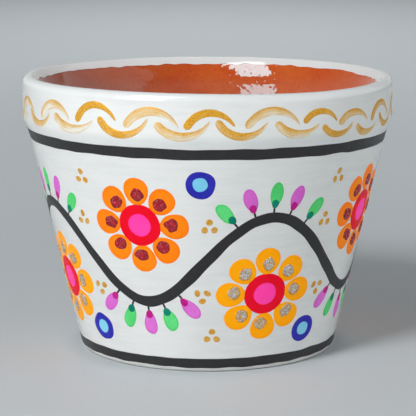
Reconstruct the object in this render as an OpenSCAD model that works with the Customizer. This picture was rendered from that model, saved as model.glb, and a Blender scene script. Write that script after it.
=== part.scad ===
// Hand-painted flower pot: a fired red-clay pot with a plain collar, a white ground coat
// outside and over the lip, a clear glaze inside, and a painted border and frieze.
// Millimetres. +Z is up, the pot stands on z = 0 and its axis is the Z axis.
// The front of the pot faces -Y, and painted places are given by their angle from the front.

/* [Pot] */
// Outer diameter at the collar
rim_diameter = 140; // [120:1:180]
// Height from the table to the crest of the lip
pot_height = 104; // [90:1:140]
// Diameter at which the straight wall would meet the table
base_diameter = 97; // [80:1:110]
// Thickness of the finished wall at its foot, measured level
wall = 9; // [6:0.1:11]
// Thickness of the finished floor
floor_thickness = 7; // [5:0.5:12]
// Radius between wall and floor inside
inner_fillet = 9; // [4:0.5:14]
// Radius of the lip's outer edge
lip_radius = 2.7; // [1.5:0.1:4]
// Radius of the lip's inner edge
crest_round = 1.3; // [1:0.1:2]
// How far inside the crest of the lip the straight inner wall, drawn on upwards, comes out
lip_depth = 3.6; // [2.5:0.1:6]
// Radius of the flare inside, where the straight wall turns out to the lip
flare_radius = 26; // [14:1:40]
// Radius on the outer edge of the foot
foot_radius = 1.6; // [1:0.1:2.4]
// Diameter of the drain hole
drain_diameter = 12; // [6:0.5:20]

/* [Collar] */
// Height of the collar, from its foot to the crest of the lip
collar_height = 22.5; // [20:0.5:30]
// How far the collar stands out past the top of the straight wall
collar_swell = 2.5; // [1.5:0.1:4]
// Height over which the collar swells out
collar_ease = 8; // [6:0.5:10]

/* [Coats] */
// Thickness of the white ground coat, measured level
ground_thickness = 0.4; // [0.2:0.05:0.8]
// How far the ground coat runs down inside from the crest of the lip
lip_overlap = 2.8; // [1.5:0.1:5]
// Height of the bare clay edge under the ground coat
bare_foot = 0.5; // [0.3:0.1:0.9]
// Thickness of the clear glaze inside
glaze_thickness = 0.4; // [0.2:0.05:0.8]
// Thickness of a film of paint, measured level
paint_thickness = 0.2; // [0.1:0.05:0.4]
// Thickness of a raised dab of glitter paint
glitter_thickness = 0.3; // [0.1:0.05:0.6]

/* [Bands] */
// Width of the black band at the foot of the collar
upper_band_width = 3.9; // [2:0.1:5]
// How far the upper band reaches below the foot of the collar
upper_band_drop = 1; // [0:0.1:2]
// Width of the black band at the foot of the pot
lower_band_width = 3.4; // [2:0.1:5]
// Height of the white strip left under the lower band
foot_strip = 1.7; // [1:0.1:3]

/* [Rim border] */
// Strokes in each of the two rows of the border
stroke_count = 20; // [16:1:22]
// Radius of a stroke's outer edge
stroke_radius = 10.4; // [8:0.1:11]
// Half the angle that a stroke spans on its own circle
stroke_half_span = 62; // [45:1:70]
// Width of a stroke next to its start
stroke_width = 2.8; // [2:0.1:3.6]
// How much wider the brush spread where it was set down
stroke_press = 0.7; // [0.3:0.1:1]
// Width of a stroke where the brush was lifted
stroke_tail = 0.6; // [0.3:0.1:1.2]
// Height of the upper row's tops below the crest of the lip
upper_row_drop = 6; // [4:0.5:8]
// Height of the lower row's bottoms below the crest of the lip
lower_row_drop = 18; // [16:0.5:20]
// How far along its step the lower row is set off from the upper one
row_offset = 0.58; // [0.4:0.01:0.7]

/* [Vine] */
// Waves of the vine around the pot
vine_waves = 4; // [3:1:4]
// Width of the vine
vine_width = 4; // [2:0.1:5]
// Height of the vine's crests above its middle line
vine_rise = 16; // [12:0.5:18]
// Angle from the front to the first flower above the vine
first_flower = -23; // [-90:1:90]

/* [Flowers] */
// Diameter of a flower
flower_diameter = 36; // [30:0.5:40]
// Petals in a flower
petal_count = 8; // [5:1:10]
// Gap between neighbouring petals
petal_gap = 0.6; // [0.2:0.1:1.5]
// Width of a petal's neck, as a share of its round end
petal_neck = 0.8; // [0.5:0.05:0.9]
// Diameter of the red centre
centre_diameter = 16; // [12:0.5:20]
// Diameter of the pink heart in the centre
heart_diameter = 9; // [5:0.5:11]
// Diameter of a dab of glitter paint
glitter_diameter = 5; // [2:0.1:6]
// Height of a flower's middle above or below the middle of the frieze
flower_shift = 13; // [8:0.5:15]

/* [Leaves] */
// Leaves in the fan on each bend of the vine
leaf_count = 5; // [3:2:7]
// Length of a leaf
leaf_length = 10; // [6:0.5:13]
// Width of a leaf
leaf_width = 5; // [3:0.1:6]
// Length of the dark root of a leaf
leaf_root = 3.4; // [1:0.1:5]
// Length of the stalk between the vine and the tip of a leaf
stalk_length = 1.2; // [0.4:0.1:3]
// Width of a stalk
stalk_width = 0.8; // [0.5:0.1:1.5]
// Distance between neighbouring leaves along the vine
leaf_pitch = 5.6; // [4:0.1:8]
// Angle between neighbouring leaves
leaf_spread = 20; // [10:1:30]

/* [Dots] */
// Diameter of a blue ring
ring_diameter = 10.5; // [6:0.1:12]
// Diameter of the pale dot in a blue ring
ring_dot_diameter = 5.6; // [3:0.1:6]
// Distance from a black band to the nearer edge of a blue ring
ring_margin = 3.6; // [2:0.1:6]
// How far a blue ring is set off from a crossing of the vine, towards the flower next to it
ring_set_off = 2; // [0:0.1:4]
// Diameter of a gold dot
gold_dot_diameter = 2.4; // [1:0.1:3]
// Distance from the middle of three gold dots to each of them
gold_dot_spread = 2; // [1.8:0.1:3]
// How far the gold dots beside a flower are set off from a crossing of the vine, away from the flower
dot_set_off = 1.3; // [0:0.1:3]

/* [Hidden] */
$fn = 96;

// The outer profile
rim_radius = rim_diameter / 2;
base_radius = base_diameter / 2;
lip_z = pot_height - lip_radius;
shoulder_z = pot_height - collar_height;
shoulder_radius = rim_radius - collar_swell;
wall_run = (shoulder_radius - base_radius) / shoulder_z;
wall_angle = atan(wall_run);
foot_top = foot_radius * (1 - sin(wall_angle));
foot_centre = wall_line(foot_top) - foot_radius * cos(wall_angle);
ease_top = shoulder_z + collar_ease;
drain_radius = drain_diameter / 2;

// The inner profile
crest_radius = rim_radius - lip_radius;
crest_z = pot_height - crest_round;
inner_base = base_radius - wall;
inner_run = (crest_radius - lip_depth - inner_base) / pot_height;
inner_angle = atan(inner_run);
coat_edge_z = pot_height - lip_overlap;

// The flare, an arc that leaves the straight inner wall and arrives at the lip's inner edge
flare_depth = lip_depth * cos(inner_angle) + crest_round * sin(inner_angle);
flare_turn = acos((flare_radius - flare_depth) / (flare_radius - crest_round));
flare_top = inner_angle + flare_turn;
flare_middle = crest_radius + (flare_radius - crest_round) * cos(flare_top);
flare_z = crest_z - (flare_radius - crest_round) * sin(flare_top);

// Points on the round stretches of the profile
foot_steps = 6;
ease_steps = 8;
lip_steps = 8;
crest_steps = 4;
flare_steps = 8;
fillet_steps = 8;

// The frieze between the two bands
upper_band_low = shoulder_z - upper_band_drop;
lower_band_top = foot_strip + lower_band_width;
frieze_middle = (upper_band_low + lower_band_top) / 2;
wave_angle = 360 / vine_waves;
vine_points = 32 * vine_waves;

// Flowers, leaves and rings
flower_radius = flower_diameter / 2;
reach = flower_radius; // length of the tools that cut a motif out of a film, across the wall
petal_half = sin(180 / petal_count);
petal_radius = (2 * flower_radius * petal_half - petal_gap) / (2 + 2 * petal_half);
petal_middle = flower_radius - petal_radius;
glitter_middle = petal_middle - petal_radius / 3;
leaf_bow = (pow(leaf_length / 2, 2) + pow(leaf_width / 2, 2)) / leaf_width;
leaf_start = leaf_length / 2 - sqrt(pow(leaf_bow, 2) - pow(leaf_bow - (leaf_width - stalk_width) / 2, 2));

// Radius of the straight wall at a height
function wall_line(z) = base_radius + wall_run * z;

// Radius of the collar's swell, a smooth step that leaves the wall and arrives upright
function ease_line(t) =
    shoulder_radius * (2 * pow(t, 3) - 3 * pow(t, 2) + 1)
    + collar_ease * wall_run * (pow(t, 3) - 2 * pow(t, 2) + t)
    + rim_radius * (3 * pow(t, 2) - 2 * pow(t, 3));

// Outer radius of the finished pot at a height, up to the round of the lip
function outer(z) =
    z < foot_top ? foot_centre + sqrt(pow(foot_radius, 2) - pow(foot_radius - z, 2))
    : z < shoulder_z ? wall_line(z)
    : z < ease_top ? ease_line((z - shoulder_z) / collar_ease)
    : rim_radius;

// Heights at which the outer profile bends
bends = concat(
    [for (i = [0 : foot_steps]) foot_top * i / foot_steps],
    [for (i = [0 : ease_steps]) shoulder_z + collar_ease * i / ease_steps]
);

// Those heights between two others, with both ends
function levels(low, high) = concat([low], [for (z = bends) if (z > low && z < high) z], [high]);

function backwards(list) = [for (i = [len(list) - 1 : -1 : 0]) list[i]];

// A stretch of the outer profile, moved outwards by a level distance
function profile(low, high, out) = [for (z = levels(low, high)) [outer(z) + out, z]];

// Inner radius at a height up to the top of the flare, under a coat of some thickness
function inner(z, under) =
    let (r = flare_radius - under)
    z < flare_z + r * sin(inner_angle) ? inner_base + inner_run * z + under / cos(inner_angle)
    : flare_middle - sqrt(pow(r, 2) - pow(z - flare_z, 2));

// Points on the flare between two heights, from the top down, under a coat of some thickness
function flare(low, high, under) = [
    for (i = [1 : flare_steps])
        let (
            a = flare_top - flare_turn * i / flare_steps,
            r = flare_radius - under,
            z = flare_z + r * sin(a)
        )
        if (z > low && z < high) [flare_middle - r * cos(a), z]
];

// The lip from outside to inside, under a coat of some thickness, down to the edge of the coat
function lip(under) = concat(
    [
        for (i = [0 : lip_steps])
            let (a = 90 * i / lip_steps, r = lip_radius - under)
            [crest_radius + r * cos(a), lip_z + r * sin(a)]
    ],
    [
        for (i = [1 : crest_steps])
            let (a = 90 - (90 - flare_top) * i / crest_steps, r = crest_round - under)
            [crest_radius - r * cos(a), crest_z + r * sin(a)]
    ],
    flare(coat_edge_z, pot_height, under),
    [[inner(coat_edge_z, under), coat_edge_z]]
);

// The inside, from the edge of the ground coat to the drain hole, under a lining of some thickness
function inside(under) =
    let (
        floor_z = floor_thickness - under,
        fillet = inner_fillet + under,
        top_z = floor_z + fillet * (1 + sin(inner_angle)),
        middle = inner(top_z, under) - fillet * cos(inner_angle)
    )
    concat(
        [[inner(coat_edge_z, under), coat_edge_z]],
        flare(top_z, coat_edge_z, under),
        [
            for (i = [0 : fillet_steps])
                let (a = inner_angle + (90 - inner_angle) * i / fillet_steps)
                [middle + fillet * cos(a), floor_z + fillet - fillet * sin(a)]
        ],
        [[drain_radius, floor_z]]
    );

// Height of the vine's middle line at an angle round the pot
function vine_z(angle) = frieze_middle - vine_rise * cos(vine_waves * (angle - first_flower));

// Slope of the vine on the wall at an angle, in degrees
function vine_slope(angle) =
    atan(vine_rise * vine_waves * sin(vine_waves * (angle - first_flower)) / wall_line(frieze_middle));

// A point of the wall, a level distance outside the ground coat
function wall_point(angle, z, out) = [
    (wall_line(z) + out) * sin(angle),
    -(wall_line(z) + out) * cos(angle),
    z
];

// Places of the flowers above the vine, and of those below it
upper_flowers = [for (i = [0 : vine_waves - 1]) first_flower + i * wave_angle];
lower_flowers = [for (angle = upper_flowers) angle + wave_angle / 2];
upper_flower_z = frieze_middle + flower_shift;
lower_flower_z = frieze_middle - flower_shift;

// Angles at which the vine crosses its middle line
crossings = [for (i = [0 : 2 * vine_waves - 1]) first_flower + (i + 0.5) * wave_angle / 2];
ring_inset = ring_margin + ring_diameter / 2;
upper_ring_z = upper_band_low - ring_inset;
lower_ring_z = lower_band_top + ring_inset;

// Angle of a place above or below a crossing of the vine, set off towards the flower on its side of the vine
function beside(crossing, above, z, set_off) =
    let (way = (crossing % 2 == 0) == above ? -1 : 1)
    crossings[crossing] + way * set_off / wall_line(z) * 180 / PI;

// A flat shape set on the wall, x round the pot, y up the wall and z out of it
module on_wall(angle, z) {
    rotate([0, 0, angle]) translate([0, -wall_line(z), z]) rotate([90 + wall_angle, 0, 0])
        linear_extrude(reach, center = true) children();
}

// A film on the outside between two heights, from one level distance to another
module film(low, high, from, to) {
    rotate_extrude() polygon(concat(profile(low, high, from), backwards(profile(low, high, to))));
}

// What its children cut out of a film of paint on the frieze
module painted() {
    intersection() {
        film(lower_band_top, upper_band_low, 0, paint_thickness);
        children();
    }
}

// The fired clay: wall, collar and floor with a drain hole, bare on the underside
module clay_pot() {
    bare = profile(0, bare_foot, 0);
    covered = profile(bare_foot, lip_z, -ground_thickness);
    color("sienna") rotate_extrude() polygon(concat(
        [[drain_radius, 0]], bare, covered, lip(ground_thickness), inside(glaze_thickness)
    ));
}

// The white ground, from just above the foot, over the lip and a little way down inside
module white_ground_coat() {
    skin = concat(profile(bare_foot, lip_z, 0), lip(0));
    back = concat(profile(bare_foot, lip_z, -ground_thickness), lip(ground_thickness));
    color("whitesmoke") rotate_extrude() polygon(concat(skin, backwards(back)));
}

// The clear glaze that seals the clay inside, from the edge of the ground coat to the drain hole
module inner_glaze() {
    color("chocolate") rotate_extrude() polygon(concat(inside(0), backwards(inside(glaze_thickness))));
}

module upper_black_band() {
    color("black") film(upper_band_low, upper_band_low + upper_band_width, 0, paint_thickness);
}

module lower_black_band() {
    color("black") film(foot_strip, lower_band_top, 0, paint_thickness);
}

// One stroke of the border: an arch that starts at its left with the full brush and thins to the right
module stroke() {
    left = 90 + stroke_half_span;
    right = 90 - stroke_half_span;
    lean = -10; // the way in which the inner edge is set off from the outer one
    set_off = (stroke_width - stroke_tail) / (cos(right - lean) - cos(left - lean));
    inner = stroke_radius - stroke_tail - set_off * cos(right - lean);
    far = 2 * stroke_radius;
    start = stroke_radius - stroke_width / 2;
    translate([0, -stroke_radius]) {
        intersection() {
            difference() {
                circle(stroke_radius);
                translate(set_off * [cos(lean), sin(lean)]) circle(inner);
            }
            polygon([[0, 0], far * [cos(right), sin(right)], [0, far], far * [cos(left), sin(left)]]);
        }
        translate(start * [cos(left), sin(left)]) circle(d = stroke_width + stroke_press);
    }
}

// Two rows of strokes that link like a chain: arches above, hanging bows below
module gold_rim_border() {
    step = 360 / stroke_count;
    low = ease_top - collar_ease / 2;
    color("goldenrod") intersection() {
        film(low, lip_z, 0, paint_thickness);
        for (i = [0 : stroke_count - 1]) {
            rotate([0, 0, i * step]) translate([0, -rim_radius, pot_height - upper_row_drop])
                rotate([90, 0, 0]) linear_extrude(reach, center = true) stroke();
            rotate([0, 0, (i + row_offset) * step]) translate([0, -rim_radius, pot_height - lower_row_drop])
                rotate([90, 0, 0]) linear_extrude(reach, center = true) mirror([0, 1]) stroke();
        }
    }
}

// The vine: a ribbon of paint that runs round the pot in even waves
module black_vine() {
    half = vine_width / 2;
    ring = [
        for (i = [0 : vine_points - 1])
            let (
                angle = 360 * i / vine_points,
                z = vine_z(angle),
                slope = vine_slope(angle),
                turn = half * sin(slope) / wall_line(z) * 180 / PI,
                lift = half * cos(slope) * cos(wall_angle)
            )
            each [
                wall_point(angle + turn, z - lift, 0),
                wall_point(angle + turn, z - lift, paint_thickness),
                wall_point(angle - turn, z + lift, paint_thickness),
                wall_point(angle - turn, z + lift, 0)
            ]
    ];
    sides = [
        for (i = [0 : vine_points - 1], k = [0 : 3])
            let (j = (i + 1) % vine_points, n = (k + 1) % 4)
            [4 * i + k, 4 * i + n, 4 * j + n, 4 * j + k]
    ];
    color("black") polyhedron(ring, sides);
}

// One petal: a round end that narrows to the centre of the flower
module petal() {
    neck = petal_radius * petal_neck;
    difference() {
        union() {
            translate([0, petal_middle]) circle(petal_radius);
            polygon([[0, 0], [neck, petal_middle], [-neck, petal_middle]]);
        }
        circle(d = centre_diameter);
    }
}

// The petals of flowers at some angles and one height, with room for the centre
module petals(angles, z) {
    painted() for (angle = angles, i = [0 : petal_count - 1])
        on_wall(angle, z) rotate(i * 360 / petal_count) petal();
}

// Something in the middle of every flower
module on_flowers() {
    for (angle = upper_flowers) on_wall(angle, upper_flower_z) children();
    for (angle = lower_flowers) on_wall(angle, lower_flower_z) children();
}

// A raised dab on the root of each petal of flowers at some angles and one height
module glitter_dabs(angles, z) {
    intersection() {
        film(lower_band_top, upper_band_low, paint_thickness, paint_thickness + glitter_thickness);
        for (angle = angles, i = [0 : petal_count - 1])
            on_wall(angle, z) rotate(i * 360 / petal_count) translate([0, glitter_middle])
                circle(d = glitter_diameter);
    }
}

module orange_petals() {
    color("darkorange") petals(upper_flowers, upper_flower_z);
}

module yellow_petals() {
    color("orange") petals(lower_flowers, lower_flower_z);
}

module red_flower_centres() {
    color("crimson") painted() on_flowers() difference() {
        circle(d = centre_diameter);
        circle(d = heart_diameter);
    }
}

module pink_flower_hearts() {
    color("deeppink") painted() on_flowers() circle(d = heart_diameter);
}

module red_glitter_dabs() {
    color("firebrick") glitter_dabs(upper_flowers, upper_flower_z);
}

module silver_glitter_dabs() {
    color("silver") glitter_dabs(lower_flowers, lower_flower_z);
}

// A leaf that points up from its root: two bowed sides that meet in points
module leaf() {
    translate([0, leaf_length / 2]) intersection_for (side = [-1, 1])
        translate([side * (leaf_bow - leaf_width / 2), 0]) circle(leaf_bow);
}

// The part of a leaf next to its stalk
module leaf_root_end() {
    translate([-leaf_width, leaf_start]) square([2 * leaf_width, leaf_root - leaf_start]);
}

// Every second place in the fans on the vine, above its crests and below its troughs, at the tip of a stalk
module on_leaves(odd) {
    half = (leaf_count - 1) / 2;
    for (bend = [0 : 2 * vine_waves - 1], i = [-half : half])
        if ((i + half + bend + odd) % 2 == 0) {
            up = bend % 2 == 0 ? 180 : 0;
            turn = i * leaf_pitch / wall_line(frieze_middle) * 180 / PI;
            angle = first_flower + bend * wave_angle / 2 + turn;
            on_wall(angle, vine_z(angle)) rotate(up + (up == 0 ? -i : i) * leaf_spread)
                translate([0, vine_width / 2 + stalk_length]) children();
        }
}

module leaves(odd) {
    painted() on_leaves(odd) intersection() {
        leaf();
        translate([-leaf_width, leaf_root]) square([2 * leaf_width, leaf_length]);
    }
}

module leaf_roots(odd) {
    painted() on_leaves(odd) intersection() {
        leaf();
        leaf_root_end();
    }
}

// Fine lines from the vine to the leaves
module leaf_stalks() {
    color("black") painted() for (odd = [0, 1]) on_leaves(odd)
        translate([-stalk_width / 2, -stalk_length]) square([stalk_width, stalk_length + leaf_start]);
}

module pink_leaves() {
    color("orchid") leaves(0);
}

module magenta_leaf_roots() {
    color("mediumvioletred") leaf_roots(0);
}

module green_leaves() {
    color("mediumseagreen") leaves(1);
}

module dark_green_leaf_roots() {
    color("darkgreen") leaf_roots(1);
}

// A place near one band at each crossing of the vine, upper and lower in turn
module on_ring_places() {
    for (i = [0 : len(crossings) - 1]) {
        above = i % 2 == 0;
        z = above ? upper_ring_z : lower_ring_z;
        on_wall(beside(i, above, z, ring_set_off), z) children();
    }
}

// At each crossing the place near the other band, and one on either side of the vine
module on_dot_places() {
    for (i = [0 : len(crossings) - 1]) {
        above = i % 2 == 1;
        z = above ? upper_ring_z : lower_ring_z;
        on_wall(beside(i, above, z, ring_set_off), z) children();
        on_wall(beside(i, true, upper_flower_z, -dot_set_off), upper_flower_z) children();
        on_wall(beside(i, false, lower_flower_z, -dot_set_off), lower_flower_z) rotate(180) children();
    }
}

module blue_rings() {
    color("mediumblue") painted() on_ring_places() difference() {
        circle(d = ring_diameter);
        circle(d = ring_dot_diameter);
    }
}

module sky_blue_dots() {
    color("skyblue") painted() on_ring_places() circle(d = ring_dot_diameter);
}

module gold_dots() {
    color("goldenrod") painted() on_dot_places()
        for (i = [0 : 2]) rotate(i * 120) translate([0, gold_dot_spread]) circle(d = gold_dot_diameter);
}

clay_pot();
white_ground_coat();
inner_glaze();
upper_black_band();
lower_black_band();
gold_rim_border();
black_vine();
leaf_stalks();
pink_leaves();
magenta_leaf_roots();
green_leaves();
dark_green_leaf_roots();
orange_petals();
yellow_petals();
red_flower_centres();
pink_flower_hearts();
red_glitter_dabs();
silver_glitter_dabs();
blue_rings();
sky_blue_dots();
gold_dots();
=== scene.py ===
import math
from functools import partial

import bmesh
import bpy
import numpy as np
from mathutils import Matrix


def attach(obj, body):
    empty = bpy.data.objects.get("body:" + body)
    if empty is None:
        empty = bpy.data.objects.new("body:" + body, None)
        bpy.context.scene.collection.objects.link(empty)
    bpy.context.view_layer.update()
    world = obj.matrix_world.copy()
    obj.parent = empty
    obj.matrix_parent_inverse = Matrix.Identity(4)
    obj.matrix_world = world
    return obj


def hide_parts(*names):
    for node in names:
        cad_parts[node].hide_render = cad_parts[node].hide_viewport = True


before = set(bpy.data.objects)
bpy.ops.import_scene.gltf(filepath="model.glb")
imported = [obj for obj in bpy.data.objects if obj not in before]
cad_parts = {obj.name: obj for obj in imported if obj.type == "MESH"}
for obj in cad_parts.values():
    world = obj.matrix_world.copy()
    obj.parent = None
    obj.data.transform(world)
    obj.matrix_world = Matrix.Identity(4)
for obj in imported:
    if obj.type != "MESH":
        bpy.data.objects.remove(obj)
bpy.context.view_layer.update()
print("solids loaded:", len(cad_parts), "nodes")

mm = 0.001
hand = np.random.default_rng(11)  # the painter's unsteady hand, the same on every run

# the pot as its solids have it, in millimetres; the front faces -Y and angles run from there to the right
pot = {
    "rimRadius": 70.0, "height": 104.0, "baseRadius": 48.5, "wall": 9.0, "floor": 7.0, "fillet": 9.0,
    "lipRound": 2.7, "crestRound": 1.3, "lipDepth": 3.6, "flareRadius": 26.0, "footRound": 1.6,
    "drainRadius": 6.0, "collarHeight": 22.5, "collarSwell": 2.5, "collarEase": 8.0,
}
lipZ = pot["height"] - pot["lipRound"]
crestRadius = pot["rimRadius"] - pot["lipRound"]
shoulderZ = pot["height"] - pot["collarHeight"]
shoulderRadius = pot["rimRadius"] - pot["collarSwell"]
wallRun = (shoulderRadius - pot["baseRadius"]) / shoulderZ
wallLean = math.atan(wallRun)
footTop = pot["footRound"] * (1 - math.sin(wallLean))
footCentre = pot["baseRadius"] + wallRun * footTop - pot["footRound"] * math.cos(wallLean)
# inside, a straight wall flares out in a wide arc to the small round of the lip's inner edge
crestZ = pot["height"] - pot["crestRound"]
innerBase = pot["baseRadius"] - pot["wall"]
innerRun = (crestRadius - pot["lipDepth"] - innerBase) / pot["height"]
innerLean = math.atan(innerRun)
flareArm = pot["flareRadius"] - pot["crestRound"]
flareDepth = pot["lipDepth"] * math.cos(innerLean) + pot["crestRound"] * math.sin(innerLean)
flareTop = innerLean + math.acos((pot["flareRadius"] - flareDepth) / flareArm)
flareMiddle = crestRadius + flareArm * math.cos(flareTop)
flareZ = crestZ - flareArm * math.sin(flareTop)
innerRows = {"lip": 48, "wall": 40, "corner": 12, "floor": 14}
filmThickness = 0.09  # a film of paint, inside the thicker film of the solids
sunk = -0.06  # undersides of films lie this far inside the ground
creaseAngle = math.radians(50)  # edges that turn more than this stay sharp


def wallRadius(z):
    # radius of the straight wall outside: a line
    return pot["baseRadius"] + wallRun * z


def outerWall(z):
    # radius outside: a small round at the foot, a straight line, then a cubic that leaves along
    # the line and arrives upright at the collar
    z = np.asarray(z, float)
    t = np.clip((z - shoulderZ) / pot["collarEase"], 0, 1)
    collar = (shoulderRadius * (2 * t**3 - 3 * t**2 + 1)
              + pot["collarEase"] * wallRun * (t**3 - 2 * t**2 + t)
              + pot["rimRadius"] * (3 * t**2 - 2 * t**3))
    foot = footCentre + np.sqrt(np.clip(pot["footRound"]**2 - (pot["footRound"] - z)**2, 0, None))
    return np.where(z < footTop, foot, np.where(z < shoulderZ, wallRadius(z), collar))


def lipInside(slope, under):
    # radius and height inside the lip at a slope of its surface, under a coat of some thickness: the small
    # round of the inner edge where the slope is flat, the wide arc of the flare where it's steep
    slope = np.asarray(slope, float)
    small, wide = pot["crestRound"] - under, pot["flareRadius"] - under
    r = np.where(slope > flareTop, crestRadius - small * np.cos(slope), flareMiddle - wide * np.cos(slope))
    return r, np.where(slope > flareTop, crestZ + small * np.sin(slope), flareZ + wide * np.sin(slope))


def innerProfile(under, topSlope):
    # radius and height inside from a slope of the lip to the drain hole, under a lining of some
    # thickness: lip and flare, straight line, floor fillet, floor
    lip = lipInside(np.linspace(topSlope, innerLean, innerRows["lip"]), under)
    floorZ = pot["floor"] - under
    fillet = pot["fillet"] + under
    z = np.linspace(lip[1][-1], floorZ + fillet * (1 + math.sin(innerLean)), innerRows["wall"])[1:]
    line = [innerBase + innerRun * z + under / math.cos(innerLean), z]
    b = np.linspace(innerLean, math.pi / 2, innerRows["corner"])[1:]
    middle = line[0][-1] - fillet * math.cos(innerLean)
    corner = [middle + fillet * np.cos(b), floorZ + fillet - fillet * np.sin(b)]
    r = np.linspace(middle, pot["drainRadius"], innerRows["floor"])[1:]
    flat = [r, np.full_like(r, floorZ)]
    return [np.concatenate(part) for part in zip(lip, line, corner, flat)]


def lipOutside(under, count):
    # quarter round from the collar up to the crest of the lip, under a coat of some thickness
    a = np.linspace(0, math.pi / 2, count)
    r = pot["lipRound"] - under
    return [crestRadius + r * np.cos(a), lipZ + r * np.sin(a)]


def fullTurn(count):
    # angles evenly round a full turn
    return np.arange(count) * 2 * math.pi / count


def places(radius, angle, z):
    # points round the axis: x is the radius times the angle's sine, y is minus the radius times its cosine
    return np.stack([radius * np.sin(angle), -radius * np.cos(angle), z], axis=-1)


# the hand-pressed rim isn't quite level: it sinks a little at the front right
sunkenRim = {"depth": 0.95, "bearing": math.radians(40), "spread": math.radians(38),
             "from": 88.0, "to": 103.0}


def spun(r, z, angles):
    # a profile carried round the axis, its rim let down by a bell curve round its lowest place
    r, z = (np.broadcast_to(np.asarray(v, float).reshape(len(v), -1), (len(v), len(angles))) for v in (r, z))
    away = (angles - sunkenRim["bearing"] + math.pi) % (2 * math.pi) - math.pi
    share = np.clip((z - sunkenRim["from"]) / (sunkenRim["to"] - sunkenRim["from"]), 0, 1)
    z = z - sunkenRim["depth"] * np.exp(-(away / sunkenRim["spread"])**2) * share**2 * (3 - 2 * share)
    return places(r, angles, z)[None]


def wobble(angles, count, orders, amount):
    # unsteadiness round a loop: a sum of cosines with random phases, weaker the finer they are
    orders = np.asarray(orders)
    phases = hand.uniform(0, 2 * math.pi, (count, 1, len(orders)))
    strengths = hand.normal(0, 1, (count, 1, len(orders))) / np.sqrt(orders)
    waves = strengths * np.cos(np.asarray(angles)[None, :, None] * orders + phases)
    return amount * waves.sum(-1) / np.sqrt((1 / orders).sum())


def onFrieze(drawn, turn, level, lift):
    # a flat drawing carried straight onto the leaning wall, x round the pot and y up it: the angle and
    # height are found whose place, seen square on, is the drawn one
    x, y = drawn[..., 0], drawn[..., 1]
    turn, level = turn[:, None, None], level[:, None, None]
    z = level + y * math.cos(wallLean)
    for step in range(4):
        radius = wallRadius(z)
        angle = np.arcsin(np.clip(x / radius, -1, 1))
        inward = radius * np.cos(angle) - wallRadius(level)
        z = level + (y - inward * math.sin(wallLean)) / math.cos(wallLean)
    return places(wallRadius(z) + lift, turn + angle, z)


def onCollar(drawn, turn, level, lift):
    # the same for the upright collar, where the height is the drawn one
    z = level[:, None, None] + drawn[..., 1]
    angle = turn[:, None, None] + np.arcsin(drawn[..., 0] / outerWall(z))
    return places(outerWall(z) + lift, angle, z)


def newObject(name, points, closedRows, closedColumns, material, marks=None):
    # quads between neighbours in every sheet of points, turned outwards by the sign of the volume
    # that they close, with the poles merged
    sheets, rows, columns = points.shape[:3]
    index = np.arange(sheets * rows * columns).reshape(sheets, rows, columns)
    if closedRows:
        index = np.concatenate([index, index[:, :1]], axis=1)
    if closedColumns:
        index = np.concatenate([index, index[:, :, :1]], axis=2)
    corners = [index[:, :-1, :-1], index[:, :-1, 1:], index[:, 1:, 1:], index[:, 1:, :-1]]
    quads = np.stack(corners, axis=-1).reshape(-1, 4)
    flat = points.reshape(-1, 3) * mm
    a, b, c, d = (flat[quads[:, i]] for i in range(4))
    if (a * (np.cross(b, c) + np.cross(c, d))).sum() < 0:
        quads = quads[:, ::-1]
    mesh = bpy.data.meshes.new(name)
    mesh.vertices.add(len(flat))
    mesh.vertices.foreach_set("co", flat.ravel())
    mesh.loops.add(quads.size)
    mesh.loops.foreach_set("vertex_index", quads.ravel())
    mesh.polygons.add(len(quads))
    mesh.polygons.foreach_set("loop_start", np.arange(0, quads.size, 4))
    mesh.update(calc_edges=True)
    for mark, values in (marks or {}).items():
        layer = mesh.attributes.new(mark, "FLOAT_VECTOR", "POINT")
        layer.data.foreach_set("vector", np.ascontiguousarray(values, float).ravel())
    shell = bmesh.new()
    shell.from_mesh(mesh)
    bmesh.ops.remove_doubles(shell, verts=shell.verts, dist=1e-7)
    shell.to_mesh(mesh)
    shell.free()
    mesh.validate()
    mesh.shade_smooth()
    mesh.set_sharp_from_angle(angle=creaseAngle)
    mesh.materials.append(material)
    made = bpy.data.objects.new(name, mesh)
    bpy.context.scene.collection.objects.link(made)
    print("made", name, len(mesh.polygons), "faces")
    return made


def layPiece(label, points, closedRows, closedColumns, marks=None):
    # sheets of points made an object that stands for a node; its label is name, node, slot and material, and
    # the slot is not used
    name, node, slotName, material = label
    piece = newObject(name, points, closedRows, closedColumns, material, marks)
    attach(piece, "root")
    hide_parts(node)


def filmHeight(s):
    # height of a film from its middle, 0, to its rim, 1: nearly flat, a faint pool near the rim, then round
    return np.sqrt(np.clip(1 - s**6, 0, 1)) * (0.86 + 0.14 * np.exp(-((s - 0.86) / 0.1)**2))


# rows over a dab from its middle to its rim, and over a line, a ring and a stroke from side to side
domeRings = np.array([0, 0.25, 0.48, 0.68, 0.83, 0.92, 0.97, 1.0])
lineAcross = np.array([-1, -0.95, -0.85, -0.6, -0.3, 0, 0.3, 0.6, 0.85, 0.95, 1.0])
ringAcross = np.array([0, 0.03, 0.09, 0.2, 0.4, 0.6, 0.8, 0.91, 0.97, 1.0])
strokeAcross = np.array([-1, -0.94, -0.8, -0.5, -0.17, 0.17, 0.5, 0.8, 0.94, 1.0])
# a line's places from side to side and back underneath, and its heights there
lineSides = np.r_[lineAcross, 1.0, -1.0][:, None]
lineLift = np.r_[filmThickness * filmHeight(np.abs(lineAcross)), sunk, sunk][:, None]
strokeGap = 40  # millimetres of brush pattern from one stroke to the next, so that no two are alike


def paintMarks(name, points, *values):
    # three values at every point for the paint's material, each spread over what it doesn't vary along
    return {name: np.stack([np.broadcast_to(value, points.shape[:3]) for value in values], axis=-1)}


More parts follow.
